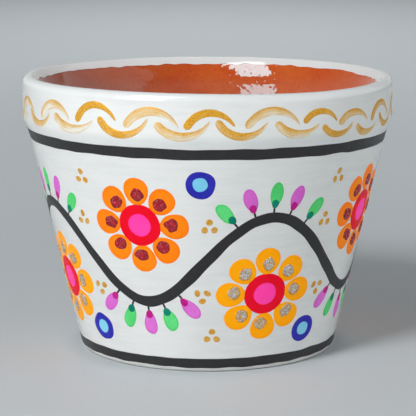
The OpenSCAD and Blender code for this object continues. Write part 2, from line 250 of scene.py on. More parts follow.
def dabSheets(outline, middle, turn, level, thickness=filmThickness, lift=0.0, relief=0.0):
    # dabs of paint: each outline is drawn in to its middle ring by ring under a flat dome, and closed
    # by an underside that is sunk in the ground
    rings = np.r_[domeRings, 1.0, 0.0]
    count, around = outline.shape[:2]
    height = np.r_[lift + thickness * filmHeight(domeRings), sunk, sunk]
    height = np.broadcast_to(height[:, None], (count, len(rings), around)).copy()
    height[:, :len(domeRings)] += relief
    middle = middle[:, None, None, :]
    drawn = middle + rings[None, :, None, None] * (outline[:, None] - middle)
    points = onFrieze(drawn, turn, level, height)
    up = drawn[..., 1] - drawn[..., 1].min((1, 2), keepdims=True)
    lengthways = up / up.max((1, 2), keepdims=True)
    tone = hand.uniform(0, 1, (count, 1, 1))
    return points, paintMarks("dab", points, rings[:, None], tone, lengthways)


def layRings(label, inner, outer, turn, level):
    # rings of paint: straight from the inner outline to the outer one under a flat dome, closed underneath
    rings = np.r_[ringAcross, 1.0, 0.0]
    height = np.r_[filmThickness * filmHeight(np.abs(2 * ringAcross - 1)), sunk, sunk]
    drawn = inner[:, None] + rings[None, :, None, None] * (outer - inner)[:, None]
    points = onFrieze(drawn, turn, level, height[:, None])
    tone = hand.uniform(0, 1, (len(turn), 1, 1))
    marks = paintMarks("dab", points, np.abs(2 * rings - 1)[:, None], tone, 0.5)
    layPiece(label, points, True, True, marks)


def strokeSheets(path, half, turn, level, carry, load):
    # brush strokes: a low arch of some half width carried along each path, closed underneath and
    # drawn to a point at both ends
    sides = np.r_[strokeAcross, 1.0, -1.0][:, None]
    along = np.gradient(path, axis=1)
    length = np.linalg.norm(along, axis=-1, keepdims=True)
    square = np.stack([-along[..., 1], along[..., 0]], axis=-1) / length
    drawn = path[:, None] + (sides * half[:, None])[..., None] * square[:, None]
    full = np.clip(half / (0.4 * half.max(1, keepdims=True)), 0, 1)[:, None]
    film = filmThickness * (0.3 + 0.7 * load)[:, None]
    dome = np.r_[filmHeight(np.abs(strokeAcross)), 0, 0][:, None]
    under = np.r_[0 * strokeAcross, sunk, sunk][:, None]
    points = carry(drawn, turn, level, (dome * film + under) * full)
    run = np.cumsum(length[..., 0], axis=1) + strokeGap * np.arange(len(path))[:, None]
    return points, paintMarks("brush", points, run[:, None], sides, load[:, None])


def linear(code):
    # sRGB to linear light: a straight line near black and a power of 2.4 above it
    part = np.array([int(code[i:i + 2], 16) for i in (1, 3, 5)]) / 255
    return (*np.where(part <= 0.04045, part / 12.92, ((part + 0.055) / 1.055)**2.4), 1.0)


def perMm(size):
    # scale of a pattern whose features are about so many millimetres across
    return 1 / (size * mm)


def addNode(tree, kind, sockets=None, **settings):
    # a new node with its settings, links and values, where colour codes are made linear and a range is a
    # pair; gives its outputs
    made = tree.nodes.new("ShaderNode" + kind)
    for key, value in settings.items():
        setattr(made, key, value)
    for key, value in (sockets or {}).items():
        if key in ("From", "To"):
            made.inputs[key + " Min"].default_value, made.inputs[key + " Max"].default_value = value
        elif isinstance(value, bpy.types.NodeSocket):
            tree.links.new(value, made.inputs[key])
        else:
            made.inputs[key].default_value = linear(value) if isinstance(value, str) else value
    return made.outputs


def newFinish(name):
    # an empty material, addNode for its tree, and the place on the pot that its patterns read
    material = bpy.data.materials.new(name)
    material.use_nodes = True
    material.node_tree.nodes.clear()
    put = partial(addNode, material.node_tree)
    return material, put, put("TexCoord")["Object"]


def closeFinish(put, sockets):
    # the shader that takes the finish's values, and the output
    put("OutputMaterial", {"Surface": put("BsdfPrincipled", sockets)["BSDF"]})


# earthenware, pressed and fired once: dry and open, with grit, small pores and slow rings underneath
clayLook = {"body": "#B4623C", "dark": "#97492A", "dusty": "#C98A66", "cloudMm": 9.0, "gritMm": 0.9,
            "poreMm": 2.2, "ringMm": 16.34, "reliefDepth": 0.12}


def firedClay():
    material, put, place = newFinish("firedRedEarthenware")
    cloud = put("TexNoise", {"Vector": place, "Scale": perMm(clayLook["cloudMm"]), "Detail": 4.0})[0]
    grit = put("TexNoise", {"Vector": place, "Scale": perMm(clayLook["gritMm"]), "Detail": 2.0})[0]
    pores = put("TexVoronoi", {"Vector": place, "Scale": perMm(clayLook["poreMm"])})["Distance"]
    ringScale = perMm(clayLook["ringMm"]) * 2 * math.pi / 20  # this node turns 20 radians in a unit
    rings = put("TexWave", {"Vector": place, "Scale": ringScale, "Distortion": 1.4, "Detail": 2.0},
                wave_type="RINGS", rings_direction="Z")["Fac"]
    dusty = put("MapRange", {"Value": cloud, "From": (0.42, 0.68)})[0]
    pit = put("MapRange", {"Value": pores, "From": (0.05, 0.2), "To": (0.8, 0.0)})[0]
    colour = clayLook["body"]
    for share, tone in ((dusty, "dusty"), (pit, "dark")):
        colour = put("Mix", {0: share, 6: colour, 7: clayLook[tone]}, data_type="RGBA")[2]
    relief = put("Math", {0: grit, 1: rings}, operation="ADD")[0]
    bump = put("Bump", {"Height": relief, "Strength": 0.8, "Distance": clayLook["reliefDepth"] * mm})[0]
    dry = put("MapRange", {"Value": grit, "To": (0.78, 0.96)})[0]
    closeFinish(put, {"Base Color": colour, "Roughness": dry, "Normal": bump, "IOR": 1.5})
    return material


# the same clay under a clear brushed-on glaze: deep wet red-brown, glassy where the glaze is full and
# dull where it sank in, so that reflections break up at their edges, and browner towards the left, which is
# painted shade of the inside's left; it mirrors a little cool, so that a light in it stays white over the
# orange
glazeLook = {"body": "#D85920", "bright": "#DF692A", "deep": "#BA4515", "pale": "#C87446",
             "pooledAndShade": "#5A2410", "paintedShadeX": (2.0, -60.0), "mirror": "#AAF6FF", "cloudMm": 14.0,
             "pebbleMm": 1.3, "patchMm": 6.0, "blobMm": 1.7, "blobDepth": 0.055, "pinholeMm": 2.4,
             "pinholeDepth": 0.05}


def clearGlaze():
    material, put, place = newFinish("clearGlazeOnRedClay")
    leftward = put("SeparateXYZ", {"Vector": place})["X"]
    level = put("Mapping", {"Vector": place, "Scale": (1, 1, 2.5)})[0]
    cloud = put("TexNoise", {"Vector": level, "Scale": perMm(glazeLook["cloudMm"]), "Detail": 4.0})[0]
    fine = put("TexNoise", {"Vector": place, "Scale": perMm(glazeLook["pebbleMm"]), "Detail": 3.0,
                            "Roughness": 0.6})[0]
    patch = put("TexNoise", {"Vector": place, "Scale": perMm(glazeLook["patchMm"]), "Detail": 5.0,
                             "Roughness": 0.7})[0]
    warm = put("MapRange", {"Value": cloud, "From": (0.35, 0.65)})[0]
    dark = put("MapRange", {"Value": fine, "From": (0.5, 0.72), "To Max": 0.45})[0]
    thin = put("MapRange", {"Value": patch, "From": (0.55, 0.7), "To Max": 0.35})[0]
    # painted shade: the colour turns brown from 2 mm right of the axis to 60 mm left of it, where the inside
    # gets less light
    start, end = glazeLook["paintedShadeX"]
    pooledAndShade = put("MapRange", {"Value": leftward, "From": (start * mm, end * mm), "To Max": 0.5})[0]
    colour = glazeLook["body"]
    for share, tone in ((warm, "bright"), (dark, "deep"), (thin, "pale"), (pooledAndShade, "pooledAndShade")):
        colour = put("Mix", {0: share, 6: colour, 7: glazeLook[tone]}, data_type="RGBA")[2]
    gloss = put("MapRange", {"Value": patch, "From": (0.5, 0.68), "To": (0.04, 0.09)})[0]
    blob = put("TexNoise", {"Vector": place, "Scale": perMm(glazeLook["blobMm"]), "Detail": 0.0})[0]
    swell = put("Bump", {"Height": blob, "Strength": 1.0, "Distance": glazeLook["blobDepth"] * mm})[0]
    hole = put("TexVoronoi", {"Vector": place, "Scale": perMm(glazeLook["pinholeMm"])})["Distance"]
    dent = put("MapRange", {"Value": hole, "From Max": 0.2}, interpolation_type="SMOOTHSTEP")[0]
    pitted = put("Bump", {"Height": dent, "Strength": 1.0, "Distance": glazeLook["pinholeDepth"] * mm,
                          "Normal": swell})[0]
    closeFinish(put, {"Base Color": colour, "Roughness": gloss, "Normal": pitted, "IOR": 1.76,
                      "Specular Tint": glazeLook["mirror"]})
    return material


# white gloss ground, brushed on level in two coats: even cool white, a wet skin with a faint orange peel,
# brush marks round the pot that only show where light grazes them, painted shade on top of the lip and a
# greyer foot strip, which set in between two heights each
groundLook = {"white": "#F0F1EF", "grey": "#EAEBEA", "lip": "#EDEFEF", "lipZ": (99.5, 102.5),
              "foot": "#D7D7D3", "footZ": (2.2, 1.6), "cloudMm": 22.0, "peelMm": 3.0, "peelDepth": 0.03,
              "bristleMm": 1.6, "bristleStretch": 9, "bristleDepth": 0.012}


def whiteGround():
    material, put, place = newFinish("whiteGlossGround")
    height = put("SeparateXYZ", {"Vector": place})["Z"]
    stretch = groundLook["bristleStretch"]
    level = put("Mapping", {"Vector": place, "Scale": (1, 1, stretch)})[0]
    streak = put("TexNoise", {"Vector": level, "Scale": perMm(groundLook["bristleMm"] * stretch),
                              "Detail": 3.0, "Roughness": 0.6})[0]
    cloud = put("TexNoise", {"Vector": place, "Scale": perMm(groundLook["cloudMm"]), "Detail": 3.0})[0]
    peel = put("TexNoise", {"Vector": place, "Scale": perMm(groundLook["peelMm"]), "Detail": 1.0})[0]
    both = put("Math", {0: streak, 1: cloud}, operation="MULTIPLY")[0]
    thin = put("MapRange", {"Value": both, "From": (0.18, 0.36)})[0]
    colour = put("Mix", {0: thin, 6: groundLook["white"], 7: groundLook["grey"]}, data_type="RGBA")[2]
    # painted shade: the top of the lip is a little darker and cooler than the rest, where light from above
    # and the glaze's orange bounce fall; the strip at the foot is greyer
    for tone in ("lip", "foot"):
        start, end = groundLook[tone + "Z"]
        share = put("MapRange", {"Value": height, "From": (start * mm, end * mm)})[0]
        colour = put("Mix", {0: share, 6: colour, 7: groundLook[tone]}, data_type="RGBA")[2]
    gloss = put("MapRange", {"Value": cloud, "From": (0.3, 0.7), "To": (0.02, 0.05)})[0]
    marks = put("Bump", {"Height": streak, "Strength": 0.3, "Distance": groundLook["bristleDepth"] * mm})[0]
    skin = put("Bump", {"Height": peel, "Strength": 0.4, "Distance": groundLook["peelDepth"] * mm,
                        "Normal": marks})[0]
    closeFinish(put, {"Base Color": colour, "Roughness": gloss, "Normal": skin, "IOR": 1.5})
    return material


# craft acrylic laid on with a soft brush: satin, even from afar, deeper in the bristle lines and where it
# pooled near the rim of a dab, and paler in patches
acrylicLook = {"bristleMm": 2.4, "bristleDepth": 0.06, "cloudMm": 6.0}


def acrylicPaint(name, main, deep, pale, sheen, shine=0.1, paintedGlow=0.0):
    # the strong colours lie outside what three primaries can mix, so their shine is held back to keep
    # them pure, and the brightest ones are given a little painted glow, light of their own beyond what the
    # lamps give
    material, put, place = newFinish(name)
    mark = put("Attribute", attribute_name="dab")["Vector"]
    parts = put("SeparateXYZ", {"Vector": mark})  # from the middle to the rim, tone of the dab, lengthways
    brushed = put("Mapping", {"Vector": place, "Rotation": (0.0, 0.6, 0.4), "Scale": (3, 3, 1)})[0]
    bristle = put("TexNoise", {"Vector": brushed, "Scale": perMm(acrylicLook["bristleMm"]), "Detail": 3.0,
                               "Roughness": 0.55})[0]
    cloud = put("TexNoise", {"Vector": place, "Scale": perMm(acrylicLook["cloudMm"]), "Detail": 2.0})[0]
    tone = put("Math", {0: parts["Y"], 1: 0.5, 2: cloud}, operation="MULTIPLY_ADD")[0]
    thin = put("MapRange", {"Value": tone, "From": (0.45, 1.05)})[0]
    ridge = put("MapRange", {"Value": parts["X"], "From": (0.72, 0.95), "To Max": 0.4},
                interpolation_type="SMOOTHSTEP")[0]
    swept = put("MapRange", {"Value": bristle, "From": (0.5, 0.75), "To Max": 0.35})[0]
    pooledAndShade = put("Math", {0: ridge, 1: swept}, operation="ADD")[0]
    body = put("Mix", {0: thin, 6: main, 7: pale}, data_type="RGBA")[2]
    colour = put("Mix", {0: pooledAndShade, 6: body, 7: deep}, data_type="RGBA")[2]
    rough = put("MapRange", {"Value": bristle, "From": (0.3, 0.7), "To": (sheen - 0.08, sheen + 0.08)})[0]
    bump = put("Bump", {"Height": bristle, "Strength": 0.4, "Distance": acrylicLook["bristleDepth"] * mm})[0]
    closeFinish(put, {"Base Color": colour, "Roughness": rough, "Normal": bump, "IOR": 1.48,
                      "Specular IOR Level": shine, "Emission Color": main, "Emission Strength": paintedGlow})
    return material


# gold acrylic with fine bronze flakes, pulled out by the stroke: full and grainy where the brush was loaded,
# then a thin wash with bristle lines through which the white ground shows; bristle lines and flakes are
# drawn about twice as coarse as they are
goldLook = {"full": "#E6A61E", "grain": "#CC8814", "spark": "#F4C246", "wash": "#EACB94",
            "ground": "#EEEBE2", "halfWidthMm": 1.4, "bristleMm": 0.42, "bristleDepth": 0.05, "flakeMm": 0.4}


def goldPaint():
    material, put, place = newFinish("goldFlakeAcrylic")
    mark = put("Attribute", attribute_name="brush")["Vector"]
    parts = put("SeparateXYZ", {"Vector": mark})  # run in mm, side from -1 to 1, load
    bristles = goldLook["halfWidthMm"] / goldLook["bristleMm"]
    lines = put("Mapping", {"Vector": mark, "Scale": (0.12, bristles, 9)})[0]  # about 8 mm along the stroke
    bristle = put("TexNoise", {"Vector": lines, "Scale": 1.0, "Detail": 2.0, "Roughness": 0.5})[0]
    slow = put("Mapping", {"Vector": mark, "Scale": (0.22, 0.7, 5)})[0]  # about 5 mm along the stroke
    patch = put("TexNoise", {"Vector": slow, "Scale": 1.0, "Detail": 2.0})[0]
    flake = put("TexNoise", {"Vector": place, "Scale": perMm(goldLook["flakeMm"]), "Detail": 1.0})[0]
    # cover is the load, more on the stroke's upper side and along its edges, and less between bristles
    edge = put("Math", {0: parts["Y"], 1: 4.0}, operation="POWER")[0]
    cover = parts["Z"]
    for share, weight in ((parts["Y"], 0.3), (edge, 0.35), (bristle, 0.9), (patch, 0.9)):
        cover = put("Math", {0: share, 1: weight, 2: cover}, operation="MULTIPLY_ADD")[0]
    dense = put("MapRange", {"Value": cover, "From": (0.95, 1.75)}, interpolation_type="SMOOTHSTEP")[0]
    bare = put("MapRange", {"Value": cover, "From": (1.1, 0.75)}, interpolation_type="SMOOTHSTEP")[0]
    dark = put("MapRange", {"Value": flake, "From": (0.48, 0.35)})[0]
    light = put("MapRange", {"Value": flake, "From": (0.56, 0.7)})[0]
    full = goldLook["full"]
    for share, tone in ((dark, "grain"), (light, "spark")):
        full = put("Mix", {0: share, 6: full, 7: goldLook[tone]}, data_type="RGBA")[2]
    wash = put("Mix", {0: bare, 6: goldLook["wash"], 7: goldLook["ground"]}, data_type="RGBA")[2]
    colour = put("Mix", {0: dense, 6: wash, 7: full}, data_type="RGBA")[2]
    metal = put("MapRange", {"Value": dense, "To Max": 0.18})[0]
    rough = put("MapRange", {"Value": flake, "From": (0.3, 0.7), "To": (0.3, 0.5)})[0]
    bump = put("Bump", {"Height": bristle, "Strength": 0.4, "Distance": goldLook["bristleDepth"] * mm})[0]
    closeFinish(put, {"Base Color": colour, "Metallic": metal, "Roughness": rough, "Normal": bump})
    return material


# clear gel full of cut foil: every flake lies at its own tilt, so single ones flash and the rest look dark,
# and they thin out at the rim; real flakes are 0.2 mm, drawn coarser so that they show
glitterLook = {"flakeMm": 0.45, "tilt": 0.9}


def glitterPaint(name, flakes, gel, share, foilShine):
    material, put, place = newFinish(name)
    mark = put("Attribute", attribute_name="dab")["Vector"]
    rim = put("SeparateXYZ", {"Vector": mark})["X"]
    sparse = put("MapRange", {"Value": rim, "From": (0.6, 1.0), "To Max": 0.55})[0]
    cells = put("TexVoronoi", {"Vector": place, "Scale": perMm(glitterLook["flakeMm"])})
    chance = put("SeparateXYZ", {"Vector": cells["Color"]})
    bright = put("MapRange", {"Value": chance["Y"], "From": (0.78, 0.86)})[0]
    lone = put("Math", {0: chance["Z"], 1: sparse}, operation="ADD")[0]
    between = put("MapRange", {"Value": lone, "From": (share, share + 0.04)})[0]
    colour = flakes[0]
    for part, tone in ((chance["X"], flakes[1]), (bright, flakes[2]), (between, gel)):
        colour = put("Mix", {0: part, 6: colour, 7: tone}, data_type="RGBA")[2]
    metal = put("MapRange", {"Value": between, "To": (foilShine, 0.0)})[0]
    rough = put("MapRange", {"Value": chance["X"], "To": (0.16, 0.42)})[0]
    tilt = put("VectorMath", {0: cells["Color"], 1: (0.5, 0.5, 0.5)}, operation="SUBTRACT")[0]
    tilt = put("VectorMath", {0: tilt, "Scale": glitterLook["tilt"]}, operation="SCALE")[0]
    facing = put("NewGeometry")["Normal"]
    tilted = put("VectorMath", {0: facing, 1: tilt}, operation="ADD")[0]
    tilted = put("VectorMath", {0: tilted}, operation="NORMALIZE")[0]
    closeFinish(put, {"Base Color": colour, "Metallic": metal, "Roughness": rough, "Normal": tilted})
    return material


blackPaint = acrylicPaint("blackAcrylic", "#1D1B1D", "#141214", "#272527", 0.4, 0.55)
paints = {
    "pink": acrylicPaint("orchidPinkAcrylic", "#E66CD8", "#D858C8", "#F080E4", 0.42),
    "magenta": acrylicPaint("magentaAcrylic", "#C8168A", "#B00C76", "#D62A9A", 0.42),
    "green": acrylicPaint("springGreenAcrylic", "#58DE78", "#40CC62", "#70EE8E", 0.42),
    "darkGreen": acrylicPaint("bottleGreenAcrylic", "#058468", "#007058", "#149478", 0.42),
    # the orange, yellow, red and heart paints are given a painted glow
    "orange": acrylicPaint("fluorescentOrangeAcrylic", "#FF800A", "#FC7204", "#FF9014", 0.4, paintedGlow=0.15),
    "yellow": acrylicPaint("sunYellowAcrylic", "#FFA200", "#FA9600", "#FFAC08", 0.4, paintedGlow=0.22),
    "red": acrylicPaint("poppyRedAcrylic", "#F60422", "#E6001A", "#FF0E30", 0.4, paintedGlow=0.05),
    "heart": acrylicPaint("fluorescentPinkAcrylic", "#FF3CA0", "#FA3496", "#FF4CAA", 0.4, paintedGlow=0.22),
    "blue": acrylicPaint("ultramarineAcrylic", "#2E2EB0", "#242098", "#3C3CC0", 0.38),
    "sky": acrylicPaint("skyBlueAcrylic", "#84D6F6", "#6CCAF0", "#98E2FC", 0.4),
}
gold = goldPaint()
redGlitter = glitterPaint("redFoilGlitterGel", ("#A8081E", "#D01430", "#F4505E"), "#860618", 0.75, 0.3)
silverGlitter = glitterPaint("silverFoilGlitterGel", ("#B4ACA0", "#E2E0DC", "#FFFFFF"), "#D89A2C", 0.72, 0.5)
clay, glaze, ground = firedClay(), clearGlaze(), whiteGround()
print("finishes mixed:", len(bpy.data.materials))

# the fired body: bare underneath and in the drain hole, under its coats everywhere else; rows are given as
# the first and the last height and how many there are
clayBody = {"columns": 360, "bareFoot": 0.5, "footInset": 0.1, "coat": 0.4, "lining": 1.0,
            "sideRows": ((6, 78, 8), (81, 90, 10))}


def makeClayBody():
    # one closed profile, spun: underside, foot, outside under the coat, lip, inside under the lining
    under = np.linspace(pot["drainRadius"], footCentre, 14)
    footZ = np.linspace(0, clayBody["bareFoot"], 5)[1:]
    footR = outerWall(footZ) - clayBody["footInset"]
    sideZ = np.concatenate([[clayBody["bareFoot"] + 0.02, 0.9, footTop],
                            *(np.linspace(*rows) for rows in clayBody["sideRows"]), [lipZ]])
    lipR, lipTop = lipOutside(clayBody["coat"], 8)
    inR, inZ = innerProfile(clayBody["lining"], math.pi / 2 - 0.02)
    r = np.r_[under, footR, outerWall(sideZ) - clayBody["coat"], lipR[1:], inR]
    z = np.r_[0 * under, footZ, sideZ, lipTop[1:], inZ]
    points = spun(r, z, fullTurn(clayBody["columns"]))
    layPiece(("firedClayBody", "clay_pot", "fired_red_clay", clay), points, True, True)


makeClayBody()

# the white ground: from the foot over the lip, and down inside to an edge left by the side of the brush
whiteCoat = {"columns": 720, "thickness": 0.3, "footEdge": 0.14, "footBead": 0.05, "beadZ": (0.4, 0.8),
             "insideEdge": 101.2, "slowEdge": 0.3, "raggedEdge": 0.26, "standsOut": 0.12,
             "sideRows": ((6, 78, 12), (80.5, 90.5, 21), (93, lipZ, 4))}


def makeWhiteCoat():
    # skin and back of one closed profile, spun; inside the lip the profile stops at a slope of the flare
    # that wavers round the pot
    angles = fullTurn(whiteCoat["columns"])
    rough = np.clip(0.7 + wobble(angles, 1, range(2, 9), 1.0), 0.3, 1.6)  # the brush skipped here and there
    slow = wobble(angles, 1, range(2, 17), whiteCoat["slowEdge"])
    ragged = rough * wobble(angles, 1, range(14, 72, 3), whiteCoat["raggedEdge"])
    edgeZ = whiteCoat["insideEdge"] + (slow + ragged)[0]
    edgeSlope = np.arcsin(np.clip((edgeZ - flareZ) / pot["flareRadius"], 0.3, math.sin(flareTop)))
    sideRows = ((whiteCoat["footEdge"], footTop, 6), *whiteCoat["sideRows"])
    sideZ = np.concatenate([np.linspace(*rows) for rows in sideRows])
    start, end = whiteCoat["beadZ"]
    bead = np.clip(1 - (sideZ - start) / (end - start), 0, 1)
    sideR = outerWall(sideZ) + whiteCoat["footBead"] * bead
    lipR, lipTop = lipOutside(0, 14)
    wide = np.ones((1, len(angles)))
    share = np.linspace(0, 1, 9)[1:, None]
    slope = np.concatenate([np.linspace(math.pi / 2, flareTop + 0.001, 8)[1:, None] * wide,
                            flareTop + (edgeSlope - flareTop) * share])
    innerR, innerZ = lipInside(slope, 0)
    proud = whiteCoat["standsOut"] * np.concatenate([np.zeros((7, 1)), np.clip(2.5 * share, 0, 1)])
    # the back takes every third row, and sinks under the crest of the lip
    thin = whiteCoat["thickness"]
    sink = thin * np.linspace(1, 0, len(lipTop[::-3]))
    backR = np.r_[lipR[::-3], sideR[::-3], sideR[:1]] - thin
    backZ = np.r_[lipTop[::-3] - sink, sideZ[::-3], sideZ[:1]]
    outR, outZ = np.r_[sideR, lipR[1:]], np.r_[sideZ, lipTop[1:]]
    r = np.r_[outR[:, None] * wide, innerR - proud, innerR[::-3] + thin, backR[:, None] * wide]
    z = np.r_[outZ[:, None] * wide, innerZ, innerZ[::-3], backZ[:, None] * wide]
    points = spun(r, z, angles)
    layPiece(("whiteGroundCoat", "white_ground_coat", "white_ground", ground), points, True, True)


makeWhiteCoat()

# the glaze inside, with the slow ripples of a pressed wall
glazeCoat = {"columns": 540, "top": 102.3, "thickness": 0.8, "ripple": 0.008, "rippleMm": 8.5, "sway": 1.2,
             "lump": 0.05, "lumpMm": 9, "lumpPhase": 1.1, "evenAbove": 99.5, "topFade": 4, "evenBelow": 14,
             "floorFade": 10}


def makeGlazeCoat():
    # the inner profile spun, its radius rippled by slow waves round the pot and up the wall that die out
    # towards the lip and the floor
    angles = fullTurn(glazeCoat["columns"])
    top = math.asin((glazeCoat["top"] - flareZ) / pot["flareRadius"])
    r, z = innerProfile(0.0, top)
    up = z[:, None]
    fade = np.clip((glazeCoat["evenAbove"] - up) / glazeCoat["topFade"], 0, 1)
    fade = fade * np.clip((up - glazeCoat["evenBelow"]) / glazeCoat["floorFade"], 0, 1)
    upWave = np.sin(up / glazeCoat["lumpMm"] + glazeCoat["lumpPhase"])
    lumps = wobble(angles, 1, range(5, 19), glazeCoat["lump"]) * upWave
    sway = wobble(angles, 1, range(1, 6), glazeCoat["sway"])
    ripples = glazeCoat["ripple"] * np.sin(up * 2 * math.pi / glazeCoat["rippleMm"] + sway)
    skin = spun(r[:, None] + fade * (lumps + ripples), z, angles)
    backR, backZ = innerProfile(glazeCoat["thickness"], top)
    points = np.concatenate([skin, spun(backR[::-3], backZ[::-3], angles)], axis=1)
    layPiece(("clearGlazeInside", "inner_glaze", "clear_glaze_on_clay", glaze), points, True, True)


makeGlazeCoat()

# two black bands, each painted round in a few pulls of the brush, with small steps where the pulls meet
bandBrush = {"columns": 720, "pulls": 5}
bands = {
    "upperBlackBand": {"node": "upper_black_band", "low": 80.4, "high": 84.55, "waver": 0.16, "step": 0.3,
                       "dip": 0.35},
    "lowerBlackBand": {"node": "lower_black_band", "low": 1.6, "high": 5.25, "waver": 0.14, "step": 0.2,
                       "dip": 0.0},
}


def makeBand(name, band):
    # heights between two wavering edges, carried round the pot under a low dome
    angles = fullTurn(bandBrush["columns"])
    pulls = bandBrush["pulls"]
    edges = []
    for edge in (band["low"], band["high"]):
        joins = np.sort(hand.uniform(0, 2 * math.pi, pulls))
        steps = band["step"] * hand.normal(0, 0.5, pulls)[np.searchsorted(joins, angles) % pulls]
        steps = sum(np.roll(steps, shift) for shift in range(-2, 3)) / 5  # eased over five columns
        waver = wobble(angles, 1, range(3, 40), band["waver"])[0]
        edges.append(edge - band["dip"] * np.sin(angles) + waver + steps - steps.mean())
    low, high = edges
    z = (low + high) / 2 + lineSides * (high - low) / 2
    points = spun(outerWall(z) + lineLift, z, angles)
    layPiece((name, band["node"], "black_paint", blackPaint), points, True, True,
             paintMarks("dab", points, np.abs(lineSides), 0.5, 0.5))


for name, band in bands.items():
    makeBand(name, band)

# the border on the collar: two rows of gold strokes that link like a chain, each set down full at its left
# and lifted off at its right, some with a loaded brush and some with a nearly dry one
border = {
    "radius": 10.4, "startAngle": 160, "endAngle": 20, "along": (0, 0.1, 0.35, 0.6, 0.8, 0.93, 1),
    "fullWidth": (2.8, 2.9, 2.7, 2.4, 1.7, 1.1, 0.6), "dryWidth": (2.4, 2.9, 3.5, 3.0, 1.8, 0.9, 0.35),
    "setDown": 0.08, "liftOff": 0.05, "spentFrom": 0.45, "startSwing": 1.5, "endSwing": 3,
    "uneven": (0.94, 1.06), "wideBehind": (0.85, 1.05), "tallBehind": (0.8, 1.05),
}
# each row's strokes from the left side to the right one: bearing, height of the bow's top or bottom, how
# wide and tall it is beside the usual bow, and how full the brush was
arches = np.array([
    (-71.1, 98.2, 0.93, 1.15, 0.25), (-51.9, 98.9, 0.98, 1.0, 0.1), (-34.4, 100.2, 0.98, 1.1, 0.97),
    (-16.6, 99.3, 1.07, 1.05, 0.26), (0.5, 98.7, 0.97, 1.0, 0.9), (18.8, 99.2, 1.1, 1.05, 0.26),
    (34.5, 97.3, 0.79, 0.66, 0.85), (48.3, 95.8, 0.88, 0.66, 0.38), (64.1, 97.8, 0.88, 1.0, 0.5),
    (82.0, 98.6, 0.95, 1.0, 0.45)])
bows = np.array([
    (-60.9, 88.2, 0.9, 0.8, 0.38), (-43.4, 88.1, 1.1, 0.82, 0.12), (-25.5, 87.6, 1.06, 1.0, 0.8),
    (-7.6, 87.6, 1.02, 0.86, 0.3), (9.8, 87.7, 0.99, 0.95, 0.6), (27.0, 87.7, 1.0, 0.86, 0.27),
    (41.3, 87.0, 0.82, 0.66, 0.7), (55.0, 86.2, 0.78, 0.6, 0.42), (68.5, 87.4, 0.74, 0.75, 0.6),
    (83.0, 88.0, 0.9, 0.9, 0.45)])


def makeGoldBorder():
    # arcs of a circle whose outer edge keeps its radius while the width swells and then thins, round at the
    # start; behind, as many again follow evenly from the last one seen to the first
    rows = []
    for row in (arches, bows):
        count = len(row)
        gap = (360 + row[0, 0] - row[-1, 0]) / (count + 1)
        behind = np.stack([row[-1, 0] + gap * np.arange(1, count + 1), np.full(count, row[:, 1].mean()),
                           hand.uniform(*border["wideBehind"], count),
                           hand.uniform(*border["tallBehind"], count),
                           0.5 + 0.35 * (-1.0)**np.arange(count)], axis=-1)
        rows.append(np.r_[row, behind])
    bearing, level, *shape = np.concatenate(rows).T
    wide, tall, load = (v[:, None] for v in shape)
    lower = np.arange(len(bearing)) >= len(rows[0])
    t = np.linspace(0, 1, 44)
    fullWidth, dryWidth = (np.interp(t, border["along"], border[key]) for key in ("fullWidth", "dryWidth"))
    width = load * fullWidth + (1 - load) * dryWidth
    width = width * hand.uniform(*border["uneven"], load.shape) * np.clip(wide, 0.8, 1)
    startAngle = np.radians(border["startAngle"] + hand.normal(0, border["startSwing"], load.shape))
    endAngle = np.radians(border["endAngle"] + hand.normal(0, border["endSwing"], load.shape))
    angle = startAngle + (endAngle - startAngle) * t
    reach = border["radius"] - 0.5 * width
    rise = tall * (reach * np.sin(angle) - border["radius"])
    path = np.stack([wide * reach * np.cos(angle), np.where(lower[:, None], -rise, rise)], axis=-1)
    setDown = np.sqrt(np.clip(1 - np.clip(1 - t / border["setDown"], 0, 1)**2, 0, 1))
    half = 0.5 * width * setDown * np.clip((1 - t) / border["liftOff"], 0, 1)**0.5
    worn = np.where(lower[:, None], 0.85, 0.6 * (1.1 - load))
    spent = load * (1 - worn * np.clip((t - border["spentFrom"]) / (1 - border["spentFrom"]), 0, 1)**1.5)
    points, marks = strokeSheets(path, half, np.radians(bearing), level, onCollar, spent)
    layPiece(("goldBorderStrokes", "gold_rim_border", "gold_paint", gold), points, True, False, marks)


makeGoldBorder()

# the vine: one thick black line that waves round the pot four times
vine = {"waves": 4, "width": 4.0, "rise": 16.0, "middle": 42.8, "firstFlower": math.radians(-23),
        "waver": 0.14, "columns": 960}


def vineHeight(angle):
    # a cosine round the pot, lowest under the first flower
    return vine["middle"] - vine["rise"] * np.cos(vine["waves"] * (angle - vine["firstFlower"]))


def makeVine():
    # a low arch carried along the wave, square to it on the wall
    angles = fullTurn(vine["columns"])
    z = vineHeight(angles)
    climb = vine["rise"] * vine["waves"] * np.sin(vine["waves"] * (angles - vine["firstFlower"]))
    slope = np.arctan(climb / wallRadius(vine["middle"]))
    upper, lower = (vine["width"] / 2 + wobble(angles, 1, range(5, 50), vine["waver"])[0] for side in (0, 1))
    reach = np.where(lineSides > 0, upper, lower) * lineSides
    height = z + reach * np.cos(slope) * math.cos(wallLean)
    turn = angles - reach * np.sin(slope) / wallRadius(z)
    points = places(wallRadius(height) + lineLift, turn, height)[None]
    layPiece(("blackVineLine", "black_vine", "black_paint", blackPaint), points, True, True,
             paintMarks("dab", points, np.abs(lineSides), 0.4, 0.5))


makeVine()

# fans of five leaves above the vine's crests and below its troughs, pink and green in turn, each a pale dab
# with a dark touch at its root; blade and root are given as start and end beyond the stalk, width and lift
leaf = {"blade": (0.9, 10.0, 5.0, 0.0), "root": (0.3, 3.6, 2.7, 0.05), "pitch": 5.6,
        "spread": math.radians(20), "fuller": 0.12, "uneven": 0.045, "swing": 0.03, "stalk": 1.2,
        "stalkWidth": 0.8, "stalkSunk": 0.7, "stalkOver": 1.6, "stalkBow": 0.12}
